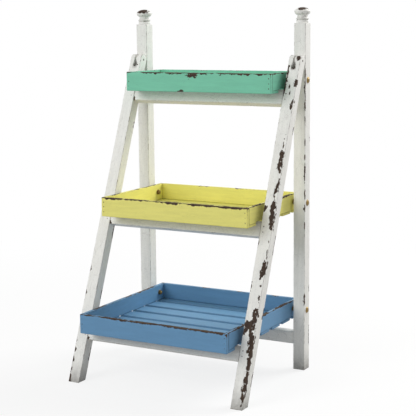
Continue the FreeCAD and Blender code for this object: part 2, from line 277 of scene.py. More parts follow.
def chipped_paint(name, coat, width, crazed, stain):
    """Brushed paint on dark wood: bare on worn edges and in chips, streaked, crazed, with dirt and painted
    shade.
    Width is how far edges wear, crazed how much the paint cracks, and stain the colour of dirt and painted
    shade."""
    colours = bpy.context.scene.stand_paint
    mixer = Mixer(bpy.data.materials.new(name))
    ease = mixer.ease
    grain = mixer.read("grain", "Vector")
    rim, chip, soil, wear = [mixer.read(mark) for mark in ("rim", "chip", "soil", "wear")]

    # Patterns in the grain's own frame, most of them drawn out along the board
    broad = mixer.cloud(grain, 17.0, 3.0)
    patch = mixer.cloud(grain, 95.0, 5.0, 0.62)
    fleck = mixer.cloud(grain, 480.0, 3.0)
    flake = mixer.cloud(grain * (0.6, 1.0, 1.0), 230.0, 4.0, 0.7)
    strand = mixer.cloud(grain * (0.045, 1.0, 1.0), 520.0, 4.0, 0.6)
    brush = mixer.cloud(grain * (0.12, 1.0, 1.0), 130.0, 3.0)
    crust = mixer.cells(grain * (0.45, 1.0, 1.0), 210.0, distance="CHEBYCHEV")
    craze = mixer.cells(grain * (0.35, 1.0, 1.0) + flake * 0.004, 75.0, feature="DISTANCE_TO_EDGE")

    # Where the paint is gone: along worn edges and in chips
    spread = ease(broad, 0.44, 0.62) * ease(patch, 0.34, 0.66)
    angular = 0.42 - crust
    reach = wear * (0.42 + spread + angular * 0.7 + (flake - 0.5) * 0.5) * width
    worn_edge = ease(reach - rim, 0.5 * MM, 0.62 * MM)
    ragged = chip * 1.2 + (patch - 0.5) * 1.5 + angular + (flake - 0.5) * 0.9
    worn_chip = ease(ragged, 0.63, 0.66) * ease(chip, 0.05, 0.2)
    bare = worn_edge.most(worn_chip)

    # The paint: brush strokes under streaks, specks, cracks, marks of handling, dirt and painted shade
    specks = ease(fleck, 0.66, 0.74) * ease(patch, 0.48, 0.62)
    mottle = ease(fleck, 0.44, 0.68) * ease(patch, 0.30, 0.62)
    crack = ease(craze, 0.018, 0.005) * ease(broad, 0.42, 0.6)
    handled = ease(rim, 1.8 * MM, 0.3 * MM) * ease(patch, 0.30, 0.60)
    layers = (
        (ease(strand, 0.58, 0.74) * 0.16, shade(coat, 0.74)),
        (ease(broad, 0.55, 0.75) * 0.2, shade(coat, 1.08)),
        (specks * 0.6, shade(colours.grime, 1.1)),
        (mottle * (1.3 * crazed), shade(coat, 0.62)),
        (crack * crazed, shade(colours.grime, 1.2)),
        (handled * 0.26, shade(colours.grime, 1.1)),
        # dirt on the feet, and painted shade under the trays, in the forks, in tray corners and gaps, and
        # beside the legs
        (soil * (0.42 + ease(patch, 0.25, 0.75) * 0.33), stain),
    )
    painted = mixer.blend(ease(brush, 0.34, 0.68), shade(coat, 0.95), shade(coat, 1.02))
    for mask, colour in layers:
        painted = mixer.blend(mask, painted, colour)

    # The wood: dark, with paler strands and paler still where edges are rubbed
    streaks = ease(strand, 0.40, 0.70) * 0.44
    rubbed = ease(broad, 0.50, 0.60) * ease(rim, 2.0 * MM, 0.4 * MM) * 0.4
    wood = mixer.blend(streaks, shade(colours.bare, 0.78), shade(colours.bare_pale, 0.85))
    wood = mixer.blend(ease(fleck, 0.35, 0.6), shade(colours.bare, 0.6), wood)
    wood = mixer.blend(rubbed, wood, shade(colours.bare_pale, 1.2))

    height = (1.0 - bare) * 0.75 + strand * 0.28 + brush * 0.25 + fleck * 0.08
    return mixer.close(Base_Color=mixer.blend(bare, painted, wood),
                       Roughness=0.46 + patch * 0.16 + bare * 0.28 + soil * 0.1,
                       Specular_IOR_Level=0.42, Normal=mixer.relief(height, 0.55, 0.7 * MM))


def aged_metal(name, metal, rust, spread, coat=None):
    """Metal with tarnish in patches and fine scratches; a coat is paint left on it."""
    mixer = Mixer(bpy.data.materials.new(name))
    place = mixer.add("ShaderNodeTexCoord", out="Object")
    patch = mixer.cloud(place, 240.0, 5.0, 0.62)
    scratch = mixer.cloud(place * (1.0, 0.15, 1.0), 2600.0, 2.0)
    stain = mixer.ease(patch, spread, spread + 0.22)
    colour = mixer.blend(mixer.ease(scratch, 0.35, 0.7), shade(metal, 0.86), shade(metal, 1.08))
    colour = mixer.blend(stain, colour, shade(rust, 1.0))
    metallic = 1.0 - stain * 0.75
    if coat is not None:
        left = mixer.ease(mixer.cloud(place, 330.0, 3.0), 0.47, 0.55)
        colour = mixer.blend(left, colour, shade(coat, 0.9))
        metallic = metallic * (1.0 - left)
    return mixer.close(Base_Color=colour, Metallic=metallic, Roughness=0.34 + stain * 0.4 + scratch * 0.12,
                       Normal=mixer.relief(scratch * 0.5 + stain, 0.35, 0.2 * MM))


def finish(kind, coat=None):
    """The stand's aged finish for a slot, made at its first use; coat names the paint left on metal."""
    name = f"aged_{kind}_in_{coat}" if coat else f"aged_{kind}"
    if name in bpy.data.materials:
        return bpy.data.materials[name]
    colours = bpy.context.scene.stand_paint
    if kind == "brass":
        return aged_metal(name, colours.brass, colours.tarnish, 0.52)
    if kind == "steel":
        return aged_metal(name, colours.steel, colours.rust, 0.40, getattr(colours, coat) if coat else None)
    coat = getattr(colours, kind.split("_")[0])
    # On the white frame grime colours dirt on the feet and painted shade under the trays and in the forks'
    # holes
    if kind == "white_paint":
        return chipped_paint(name, coat, colours.frame_wear, 0.24, shade(colours.grime, 1.0))
    # On the trays a dark copy of the paint colours painted shade in corners, gaps and beside the legs, and
    # dark seams
    return chipped_paint(name, coat, colours.tray_wear, 0.07, shade(coat, 0.22))


# Shapes in wood

# Extra grid lines beside an edge, and the least gap between a grid line and one that a notch needs
EDGE_LINES = (3.2 * MM, 8 * MM)
LINE_GAP = 0.7 * MM
# An edge that turns by more than this is shown as sharp
SHARP = math.radians(38)
# Scale of the noise in the faces' dips and in the edges' bites, and how far from an edge the bites reach
DIP_SCALE = 16.0
BITE_SCALE = 70.0
BITE_REACH = 1.6 * MM
# How far below a board's top the wear of its rim holds, and the way over which it then fades
RIM_HOLD = 4 * MM
RIM_FADE = 6 * MM
# A bar's grid: its spacing across, through and along the bar, and how far below the pin the long part starts
BAR_STEPS = (2.6 * MM, 4 * MM, 4 * MM)
BAR_NECK = 32 * MM
# A bar shorter than this below its pin has no long part
SHORT_BAR = 40 * MM
# A fork's grid: the heights between which its own lines replace the bar's, two of these lines, and the least
# gap from its slot to the next line across
FORK_SPAN = (-30 * MM, -1 * MM)
FORK_LINES = (-9 * MM, -5 * MM)
FORK_GAP = 0.8 * MM
# The length over which a leg's foot is slanted
SLANT_LENGTH = 40 * MM


def seed(name):
    """A shift of the grain that is the piece's own and the same in each run."""
    return np.random.RandomState(zlib.crc32(name.encode()) % 2**31).uniform(0.0, 2.0, 3)


def grid_lines(low, high, step, radius, kept=()):
    """Grid lines across a board: close at both edges, then about a step apart, with some kept places."""
    near = [gap for gap in (0.0, 0.45 * radius, radius, *EDGE_LINES) if gap < 0.45 * (high - low)]
    count = max(1, round((high - low - 2 * near[-1]) / step))
    lines = [low + gap for gap in near] + [high - gap for gap in near]
    lines += list(np.linspace(low + near[-1], high - near[-1], count + 1)[1:-1])
    lines = [line for line in lines
             if line in (low, high) or all(abs(line - place) > LINE_GAP for place in kept)]
    return np.array(sorted({round(float(line), 7) for line in [*lines, *kept]}))


def block(lines, hollows=()):
    """Points and quads of a block on three sets of grid lines, with box-shaped hollows left out."""
    middles = [(line[1:] + line[:-1]) / 2 for line in lines]
    filled = np.ones([len(middle) for middle in middles], bool)
    for low, high in hollows:
        x, y, z = [(middle > start) & (middle < end) for middle, start, end in zip(middles, low, high)]
        filled &= ~(x[:, None, None] & y[None, :, None] & z[None, None, :])
    padded = np.pad(filled, 1).astype(np.int8)
    counts = [len(line) for line in lines]
    quads = []
    for axis in range(3):
        first, second = (axis + 1) % 3, (axis + 2) % 3
        change = np.diff(padded, axis=axis)
        for cell in np.argwhere(change):
            corner = cell - 1
            corner[axis] = cell[axis]
            ring = []
            for first_step, second_step in ((0, 0), (1, 0), (1, 1), (0, 1)):
                spot = corner.copy()
                spot[first] += first_step
                spot[second] += second_step
                ring.append(int(np.ravel_multi_index(spot, counts)))
            quads.append(ring if change[tuple(cell)] < 0 else ring[::-1])
    used, quads = np.unique(np.array(quads), return_inverse=True)
    spots = np.stack(np.unravel_index(used, counts), axis=1)
    points = np.stack([line[spots[:, i]] for i, line in enumerate(lines)], axis=1)
    return points, quads.reshape(-1, 4)


def ease_edges(points, low, high, radius):
    """Rounds the outer edges of a block."""
    middle, inner = (low + high) / 2, (high - low) / 2 - radius
    core = np.clip(points - middle, -inner, inner)
    out = points - middle - core
    size = np.linalg.norm(out, axis=1, keepdims=True)
    return np.where(size > 0, middle + core + out * radius / np.maximum(size, LEAST), points)


def edge_distance(points, low, high):
    """Distance from each surface point of a block to its nearest edge."""
    gaps = np.maximum(np.minimum(points - low, high - points), 0.0)
    return np.sort(gaps, axis=1)[:, 1]


def chip_field(points, chips):
    """1 in the middle of a chip, a half at its border and 0 beyond.
    A chip is a centre and three radii in mm."""
    field = np.zeros(len(points))
    for centre, radii in chips:
        off = np.sum(((points / MM - np.array(centre)) / np.array(radii)) ** 4, axis=1) ** 0.25
        field = np.maximum(field, np.clip(1.5 - off, 0.0, 1.0))
    return field


def sunk(chip):
    """How far a chip is sunk, from 0 at its border to 1 in its middle."""
    return np.clip(chip * 1.5 - 0.5, 0, 1)


def nowhere(points):
    """A mark that a piece doesn't have."""
    return np.zeros(len(points))


def wood_marks(points, along, shift, rim, chip, wear, soil):
    """What the paint reads at each point: place in the grain, way to the edge, chips, wear, and dirt with
    painted shade.
    """
    order = [along, (along + 1) % 3, (along + 2) % 3]
    return {"grain": points[:, order] + shift, "rim": rim, "chip": chip,
            "wear": np.broadcast_to(wear, len(points)), "soil": soil(points)}


def point_normals(points, quads):
    """Outward direction at each point of a mesh of quads."""
    corners = points[quads]
    facing = np.cross(corners[:, 2] - corners[:, 0], corners[:, 3] - corners[:, 1])
    total = np.zeros_like(points)
    for i in range(4):
        np.add.at(total, quads[:, i], facing)
    return total / np.maximum(np.linalg.norm(total, axis=1, keepdims=True), LEAST * MM)


def bumps(points, shift, scale):
    """Smooth noise from -1 to 1 at each point."""
    return np.array([noise.noise(Vector((point + shift) * scale)) for point in points])


def weather(points, quads, rim, chip, shift):
    """Lets the faces dip a little, thins the edges here and there and sinks the chips, always inward."""
    wood = bpy.context.scene.stand_wood
    dip = np.clip(0.5 + 0.5 * bumps(points, shift, DIP_SCALE), 0, 1)
    bite = np.maximum(bumps(points, shift, BITE_SCALE), 0.0) * np.clip(1 - rim / BITE_REACH, 0, 1)
    cut = wood.skin + wood.waviness * dip + wood.chip_depth * sunk(chip) + wood.edge_bite * bite
    return points - point_normals(points, quads) * cut[:, None]


def put(name, points, faces, kind, body, nodes, marks=None, place=None, coat=None):
    """Makes a piece from its mesh and finish, and lets it ride on its body in place of the nodes."""
    mesh = bpy.data.meshes.new(name)
    if place is not None:
        turn = np.array(place)
        points = points @ turn[:3, :3].T + turn[:3, 3]
    corners = [tuple(map(float, point)) for point in points]
    mesh.from_pydata(corners, [], [tuple(map(int, face)) for face in faces])
    mesh.polygons.foreach_set("use_smooth", [True] * len(mesh.polygons))
    mesh.set_sharp_from_angle(angle=SHARP)
    for label, values in (marks or {}).items():
        flat = np.asarray(values, float)
        layer = mesh.attributes.new(label, "FLOAT_VECTOR" if flat.ndim == 2 else "FLOAT", "POINT")
        layer.data.foreach_set("vector" if flat.ndim == 2 else "value", flat.ravel())
    mesh.materials.append(finish(kind, coat))
    if mesh.validate():
        raise RuntimeError(f"{name} has a broken mesh")
    piece = bpy.data.objects.new(name, mesh)
    bpy.context.scene.collection.objects.link(piece)
    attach(piece, body)
    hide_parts(*nodes)


def board(node, kind, body, along, low=None, high=None, place=None, chips=(), notches=(), soil=nowhere,
          steps=None, wear=(0.4, 0.4)):
    """A board with eased and worn edges; along is the axis of its grain, notches are boxes cut from it.
    Wear is how worn its top edges and its other edges are."""
    wood = bpy.context.scene.stand_wood
    if low is None:
        low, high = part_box(node)
    low, high = np.array(low), np.array(high)
    radius = min(wood.edge_radius, 0.24 * float((high - low).min()))
    steps = steps or [wood.grid_step] * 3
    lines = []
    for axis in range(3):
        cuts = [corner[axis] for notch in notches for corner in notch]
        kept = [cut for cut in cuts if low[axis] < cut < high[axis]]
        lines.append(grid_lines(low[axis], high[axis], steps[axis], radius, kept))
    points, quads = block(lines, notches)
    rim = edge_distance(points, low, high)
    chip, shift = chip_field(points, chips), seed(node)
    near_top = np.clip(1 - (high[2] - points[:, 2] - RIM_HOLD) / RIM_FADE, 0, 1)
    worn = wear[1] + (wear[0] - wear[1]) * near_top
    marks = wood_marks(points, along, shift, rim, chip, worn, soil)
    points = weather(ease_edges(points, low, high, radius), quads, rim, chip, shift)
    put(f"{node}_wood", points, quads, kind, body, [node], marks, place)


def over_the_top(points, half_x, half_y, radius):
    """Eases a bar's long edges and turns its square top into a half round, centred on the origin."""
    x, y, z = points.T
    square = np.where(z > 0, np.maximum(np.abs(y), z), np.abs(y))
    out_x = np.maximum(np.abs(x) - (half_x - radius), 0)
    out_square = np.maximum(square - (half_y - radius), 0)
    size = np.hypot(out_x, out_square)
    ease = np.where(size > 0, radius / np.maximum(size, LEAST), 1.0)
    corner = (out_x > 0) & (out_square > 0)
    new_x = np.where(corner, np.sign(x) * (half_x - radius + out_x * ease), x)
    new_square = np.where(corner, half_y - radius + out_square * ease, square)
    pull = np.where(square > 0, new_square / np.maximum(square, LEAST), 1.0)
    spoke = np.where(z > 0, square / np.maximum(np.hypot(y, z), LEAST), 1.0)
    return np.stack([new_x, y * pull * spoke, np.where(z > 0, z * pull * spoke, z)], axis=1)


def bar_levels(foot, half_y, fork):
    """Grid lines up a bar from its foot to its round top, with more of them in a fork."""
    if foot < -SHORT_BAR:
        lower = np.linspace(foot, -BAR_NECK, max(2, round((-BAR_NECK - foot) / BAR_STEPS[2])))
    else:
        lower = np.linspace(foot, 0, 4)[:-1]
    levels = np.array([*lower, *np.linspace(0, half_y, 7)])
    if fork is None:
        return np.sort(levels)
    _, hole, depth = fork
    inside = [-(depth + hole), -depth, -(depth - 0.5 * hole), -(depth - hole), *FORK_LINES]
    outside = (levels < FORK_SPAN[0]) | (levels > FORK_SPAN[1])
    return np.sort([*levels[outside], *inside])


def round_fork(points, fork):
    """Turns the square bottom of a fork into a round hole."""
    half, hole, depth = fork
    x, level = points[:, 0].copy(), points[:, 2] + depth
    bottom = (np.abs(x) <= half + SAME) & (np.abs(level + hole) < SAME)
    wall = (np.abs(np.abs(x) - half) < SAME) & (np.abs(level) < hole - SAME)
    points[bottom, 2] = -depth - np.sqrt(hole**2 - x[bottom]**2)
    points[wall, 0] = np.sign(x[wall]) * np.maximum(half, np.sqrt(hole**2 - level[wall]**2))


def round_topped_bar(node, body, half_x, half_y, foot, place, fork=None, slant=0.0, chips=nowhere,
                     soil=nowhere):
    """A bar with a half-round top about the pin: a front leg with its fork, or a hinge tongue.
    Fork is half its slot's width, the radius of the hole at its bottom and that hole's way below the pin."""
    radius = min(bpy.context.scene.stand_wood.edge_radius, 0.3 * half_x)
    across = grid_lines(-half_x, half_x, BAR_STEPS[0], radius)
    hollows = ()
    if fork:
        half, hole, depth = fork
        across = np.sort([*across[np.abs(across) > half + FORK_GAP], *np.linspace(-half, half, 7)])
        hollows = [((-half, -OVERRUN, -(depth + hole)), (half, OVERRUN, OVERRUN))]
    thick = grid_lines(-half_y, half_y, BAR_STEPS[1], radius)
    points, quads = block([across, thick, bar_levels(foot, half_y, fork)], hollows)
    if fork:
        round_fork(points, fork)
    low, high = np.array([-half_x, -half_y, foot]), np.array([half_x, half_y, half_y])
    rim = edge_distance(points, low, high)
    chip, shift = chips(points), seed(node)
    marks = wood_marks(points, 2, shift, rim, chip, 0.5, soil)
    points = weather(over_the_top(points, half_x, half_y, radius), quads, rim, chip, shift)
    near_foot = np.clip((foot + SLANT_LENGTH - points[:, 2]) / SLANT_LENGTH, 0, 1)
    points[:, 2] += points[:, 1] * slant * near_foot
    put(f"{node}_wood", points, quads, "white_paint", body, [node], marks, place)


# Turned and metal shapes

def turned(profile, sides, shape=None):
    """Points and faces of a form turned about +Z from (radius, height) pairs in mm.
    Shape, where it is given, flattens a ring's sides."""
    angles = np.arange(sides) * 2 * math.pi / sides
    rings, faces = [], []
    for radius, height in profile:
        reach = shape(angles, radius) if shape else np.full(sides, float(radius))
        level = np.full(sides, float(height))
        rings.append(np.stack([reach * np.cos(angles), reach * np.sin(angles), level], axis=1) * MM)
    for base in range(0, sides * (len(profile) - 1), sides):
        for i in range(sides):
            j = (i + 1) % sides
            faces.append((base + i, base + j, base + sides + j, base + sides + i))
    return np.concatenate(rings), faces


def closed_turning(profile, sides):
    """A turned form whose first and last ring are closed with fans."""
    points, faces = turned(profile, sides)
    count = len(points)
    last = count - sides
    points = np.concatenate([points, [points[:sides].mean(0)], [points[last:].mean(0)]])
    for i in range(sides):
        j = (i + 1) % sides
        faces += [(j, i, count), (last + i, last + j, count + 1)]
    return points, faces


def ring_turning(profile, sides, shape=None):
    """A turned form whose last ring joins the first, such as a washer or a nut."""
    points, faces = turned(profile, sides, shape)
    last = len(points) - sides
    faces += [(last + i, last + (i + 1) % sides, (i + 1) % sides, i) for i in range(sides)]
    return points, faces


def gathered(parts):
    """Several meshes as one list of points and faces."""
    points, faces, base = [], [], 0
    for part_points, part_faces in parts:
        points.append(part_points)
        faces += [tuple(corner + base for corner in face) for face in part_faces]
        base += len(part_points)
    return np.concatenate(points), faces


def set_at(part, spot, direction):
    """A mesh made about +Z, moved so that +Z points in the direction."""
    points, faces = part
    turn = np.array(Vector((0, 0, 1)).rotation_difference(Vector(direction)).to_matrix())
    return points @ turn.T + np.array(spot), faces


def nail(head, stem):
    """A small wire nail, its dome up at +Z and its stem below; the head's radius and the stem are in mm."""
    wire = 0.55
    profile = [(wire * 0.4, -stem), (wire, 1.2 - stem), (wire, -1.1), (head * 0.96, -1.0), (head, -0.45),
               (head * 0.9, -0.2), (head * 0.6, -0.06), (head * 0.22, 0.0)]
    return closed_turning(profile, 16)


# The nails' lengths in mm
RAIL_NAIL_STEM = 20
TRAY_NAIL_STEM = 18


class StandOperator:
    """What the stand's operators share."""
    bl_options = {"REGISTER", "UNDO"}


# Rear frame

# Chips on the posts' upright edges: height, half length and the reach across and back, in mm
POST_CHIPS = {
    "left": {
        ("outer", "front"): [(118, 8, 2.5, 3)],
        ("outer", "back"): [(240, 14, 3, 3), (700, 9, 3, 3)],
        ("inner", "back"): [(420, 11, 3, 3)],
    },
    "right": {
        ("outer", "front"): [(772, 14, 2.4, 3), (744, 15, 2.8, 3.2), (717, 13, 2.4, 3), (690, 14, 3, 3),
                             (655, 12, 2, 2.6), (600, 9, 2, 2.6), (562, 8, 2, 2.6), (520, 24, 3, 3.5),
                             (466, 14, 2.5, 3), (430, 10, 3, 3), (386, 9, 2, 2.6), (190, 13, 3, 3)],
        ("outer", "back"): [(612, 12, 3, 3), (214, 12, 3.5, 4), (86, 30, 3, 4)],
        ("inner", "back"): [(560, 9, 3, 3), (330, 16, 3, 3)],
    },
}
# Chips round the posts' feet: way across and back from the outer front corner, and radii, in mm
FOOT_CHIPS = {"left": [], "right": [((-9.5, 0), (9, 3, 3)), ((0, 12), (3, 11, 3))]}
# Chips on the rear rail's upper edge: place across and half length, in mm
REAR_RAIL_CHIPS = ((-120, 14), (90, 20))
# How high dirt goes up the posts and legs from the floor
POST_DIRT = 60 * MM
LEG_DIRT = 55 * MM
# How far a hinge tongue's drawn end goes into its post
TONGUE_SUNK = 0.4 * MM


def post_chips(side):
    """The chips of a post, as centres and radii in mm."""
    low, high = [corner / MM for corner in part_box(f"{side}_rear_post")]
    outer, inner = (low.x, high.x) if side == "left" else (high.x, low.x)
    places = {"outer": outer, "inner": inner, "front": low.y, "back": high.y}
    chips = [((outer + across, low.y + back, 0), radii) for (across, back), radii in FOOT_CHIPS[side]]
    for (across, back), marks in POST_CHIPS[side].items():
        for height, half, wide, deep in marks:
            chips.append(((places[across], places[back], height), (wide, deep, half)))
    return chips


def foot_soil(floor, height):
    """Dirt that grows towards the floor end of a post or leg."""
    return lambda points: np.clip((floor + height - points[:, 2]) / height, 0, 1) ** 1.5


class STAND_OT_rear_posts(StandOperator, bpy.types.Operator):
    """Make the two square rear posts"""
    bl_idname = "stand.rear_posts"
    bl_label = "Rear posts"

    def execute(self, context):
        for side in SIDES:
            board(f"{side}_rear_post", "white_paint", "rear_frame", 2, chips=post_chips(side),
                  soil=foot_soil(0.0, POST_DIRT))
        return {"FINISHED"}


# A finial in mm: half the height and the radius of its knob, the heights of its base's and bead's edges and
# of the darker band in its neck, and the depths of its dents and chips
KNOB_HALF = 11.0
KNOB_RADIUS = 20.4
BASE_EDGE = 7.2
BEAD_EDGE = 10.3
NECK_DARKENING = 14
DENT_DEPTH = 0.3
KNOB_CHIP_DEPTH = 0.4
# The bare patch on each knob, as place from the knob's middle and radii, and the radii of the one on top
KNOB_CHIPS = {"left": ((2, -13, 7), (17, 13, 5.5)), "right": ((4, -7, 8), (11, 12, 5))}
TOP_CHIP = (13, 13, 3)
# Nearer to the axis than this, dents and chips are made less deep
NEAR_AXIS = 8


def finial_profile(tall):
    """A finial's outline in mm: a base, a bead, a neck and a flat knob."""
    knob = tall - KNOB_HALF
    profile = [(15.3, 0.0), (15.45, 0.6), (15.45, 6.6), (14.9, 7.4), (13.6, 7.8), (13.6, 8.2), (15.6, 8.6),
               (16.4, 9.7), (16.4, 10.9), (15.6, 12.0), (13.8, 12.7), (13.0, 13.6), (12.9, knob - 9.2)]
    for turn in np.radians(np.linspace(-49, 84, 22)):
        profile.append((KNOB_RADIUS * math.cos(turn), knob + KNOB_HALF * math.sin(turn)))
    return profile + [(1.2, tall - 0.2)]


def neck_darkening(points):
    """A darker band in the neck of a finial."""
    return np.clip(1 - np.abs(points[:, 2] / MM - NECK_DARKENING) / 5, 0, 1) * 0.4


class STAND_OT_finials(StandOperator, bpy.types.Operator):
    """Turn the two finials on top of the posts"""
    bl_idname = "stand.finials"
    bl_label = "Finials"

    def execute(self, context):
        for side in SIDES:
            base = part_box(f"{side}_rear_post")[1].z
            tall = (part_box(f"{side}_finial")[1].z - base) / MM
            knob = tall - KNOB_HALF
            points, faces = closed_turning(finial_profile(tall), 56)
            height = points[:, 2] / MM
            edges = [np.abs(height - BASE_EDGE), np.abs(height - BEAD_EDGE), np.abs(height - knob) * 1.6]
            rim = np.minimum.reduce(edges) * MM
            (across, back, up), radii = KNOB_CHIPS[side]
            chip = chip_field(points, [((across, back, knob + up), radii), ((0, 0, tall), TOP_CHIP)])
            chip = np.maximum(chip, np.where(height > knob - 6, 0.2, 0.04))
            shift = seed(f"{side}_finial")
            marks = wood_marks(points, 2, shift, rim, chip, 0.28, neck_darkening)
            dents = DENT_DEPTH * np.maximum(bumps(points, shift, 60), 0.0)
            depth = (dents + KNOB_CHIP_DEPTH * sunk(chip)) * MM
            points[:, :2] *= (1 - depth / np.maximum(np.hypot(*points[:, :2].T), NEAR_AXIS * MM))[:, None]
            place = Matrix.Translation((*middle_of(f"{side}_finial").xy, base))
            put(f"{side}_finial_turned", points, faces, "white_paint", "rear_frame", [f"{side}_finial"],
                marks, place)
        return {"FINISHED"}


class STAND_OT_rear_rail(StandOperator, bpy.types.Operator):
    """Make the low rail between the posts"""
    bl_idname = "stand.rear_rail"
    bl_label = "Rear rail"

    def execute(self, context):
        low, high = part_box("rear_rail")
        low.x, high.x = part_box("left_rear_post")[1].x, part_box("right_rear_post")[0].x
        chips = [((x, high.y / MM, high.z / MM), (half, 3, 3)) for x, half in REAR_RAIL_CHIPS]
        board("rear_rail", "white_paint", "rear_frame", 0, low, high, chips=chips, wear=(0.35, 0.3))
        return {"FINISHED"}


class STAND_OT_hinge_tongues(StandOperator, bpy.types.Operator):
    """Make the flat tongues that the legs turn on"""
    bl_idname = "stand.hinge_tongues"
    bl_label = "Hinge tongues"

    def execute(self, context):
        lying = Matrix.Rotation(math.pi / 2, 4, "X")
        for side in SIDES:
            low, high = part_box(f"{side}_hinge_tongue")
            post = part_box(f"{side}_rear_post")[0].y
            place = Matrix.Translation((middle_of(f"{side}_hinge_tongue").x, *PIN_POINT.yz)) @ lying
            half_x, half_y = (high.x - low.x) / 2, (high.z - low.z) / 2
            root = PIN_POINT.y - post - TONGUE_SUNK
            round_topped_bar(f"{side}_hinge_tongue", "rear_frame", half_x, half_y, root, place)
        return {"FINISHED"}


def bolt_spots():
    """Where each bolt enters its post: a point on its axis at the post's outer face, and its way inward."""
    axis_y = middle_of("tray_spacers").y
    for side, way in (("left", 1), ("right", -1)):
        low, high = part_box(f"{side}_rear_post")
        face = low.x if way > 0 else high.x
        for tray in TRAYS:
            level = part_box(f"{tray}_tray_left_side")[1].z - BOLT_BELOW_RIM
            yield Vector((face, axis_y, level)), way


def bolt_shape(tip):
    """A bolt whose domed head sits at 0 and whose threaded stem ends at the tip, in mm below."""
    metal = bpy.context.scene.stand_metal
    head, dome, stem = metal.bolt_head / MM, metal.bolt_dome / MM, metal.bolt_stem / MM
    sphere = (head**2 + dome**2) / (2 * dome)
    profile = [(1.2, -tip), (2.2, 0.4 - tip)]
    for turn in range(9):
        start = turn * 0.9 - tip
        profile += [(stem - 0.5, start + 0.8), (stem, start + 1.2)]
    profile += [(stem, -0.3), (stem, 0.0), (head - 0.25, 0.0), (head - 0.05, 0.25)]
    for lean in np.linspace(math.asin((head - 0.2) / sphere), 0.06, 12):
        profile.append((sphere * math.sin(lean), dome - sphere * (1 - math.cos(lean))))
    return closed_turning(profile, 32)


def bored_disc(tall, ease_in, ease_up):
    """A spacer or washer with eased rims, its sizes in mm."""
    metal = bpy.context.scene.stand_metal
    bore, disc = metal.bore / MM, metal.disc / MM
    return ring_turning([(bore, 0.0), (disc - ease_in, 0.0), (disc, ease_up), (disc, tall - ease_up),
                         (disc - ease_in, tall), (bore, tall)], 32)


def nut_shape():
    """A six-sided nut with eased corners."""
    flat = bpy.context.scene.stand_metal.nut / MM

    def hexagon(angles, radius):
        if radius < 4:
            return np.full(len(angles), radius)
        beat = (angles + math.pi / 6) % (math.pi / 3) - math.pi / 6
        return np.minimum(radius, flat / np.cos(beat))

    profile = [(3.0, 0.0), (4.9, 0.0), (5.75, 0.5), (5.75, 4.4), (4.9, 4.9), (3.4, 4.9), (3.0, 4.5)]
    return ring_turning(profile, 48, hexagon)


class STAND_OT_bolts(StandOperator, bpy.types.Operator):
    """Make the brass bolts, spacers, washers and nuts that carry the trays"""
    bl_idname = "stand.bolts"
    bl_label = "Bolts, spacers, washers and nuts"

    def execute(self, context):
        post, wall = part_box("right_rear_post"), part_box("top_tray_right_side")
        into_nut, washer_tall, nut_seat = 6.4, 1.15, 1.2
        spacer_slack, spacer_start = 0.3, 0.1
        bolt = bolt_shape((post[1].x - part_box("tray_nuts")[1].x) / MM + into_nut)
        spacer = bored_disc((post[0].x - wall[1].x) / MM - spacer_slack, 0.55, 0.5)
        washer = bored_disc(washer_tall, 0.25, 0.25)
        nut = nut_shape()
        made = {"bolts": [], "spacers": [], "washers": [], "nuts": []}
        for spot, way in bolt_spots():
            inward = Vector((way, 0, 0))
            beside = spot + inward * (post[1].x - post[0].x + spacer_start * MM)
            inside = spot + inward * (post[1].x - wall[0].x)
            made["bolts"].append(set_at(bolt, spot, -inward))
            made["spacers"].append(set_at(spacer, beside, inward))
            made["washers"].append(set_at(washer, inside, inward))
            made["nuts"].append(set_at(nut, inside + inward * nut_seat * MM, inward))
        for word, parts in made.items():
            put(f"tray_{word}_brass", *gathered(parts), "brass", "rear_frame", [f"tray_{word}"])
        return {"FINISHED"}


# Front frame

def leaning():
    """From the legs' own frame, with the pin at its origin and the leg along -Z, to the stand's."""
    lean = bpy.context.scene.stand_wood.lean
    return Matrix.Translation((0, *PIN_POINT.yz)) @ Matrix.Rotation(-lean, 4, "X")


def leaning_box(node):
    """Lowest and highest corner of a node of the front frame in the legs' own frame."""
    back = np.array(leaning().inverted())
    points = np.array([vertex.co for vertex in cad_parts[node].data.vertices], float)
    points = points @ back[:3, :3].T + back[:3, 3]
    return points.min(0), points.max(0)


# A leg's fork: half its slot's width, the radius of the hole at its bottom and that hole's way below the pin
LEG_FORK = (4.5 * MM, 5 * MM, 19 * MM)
# The painted shade in the fork's round hole: its middle below the pin, half its width and how far it reaches
FORK_SHADE = (21 * MM, 6 * MM, 7 * MM)
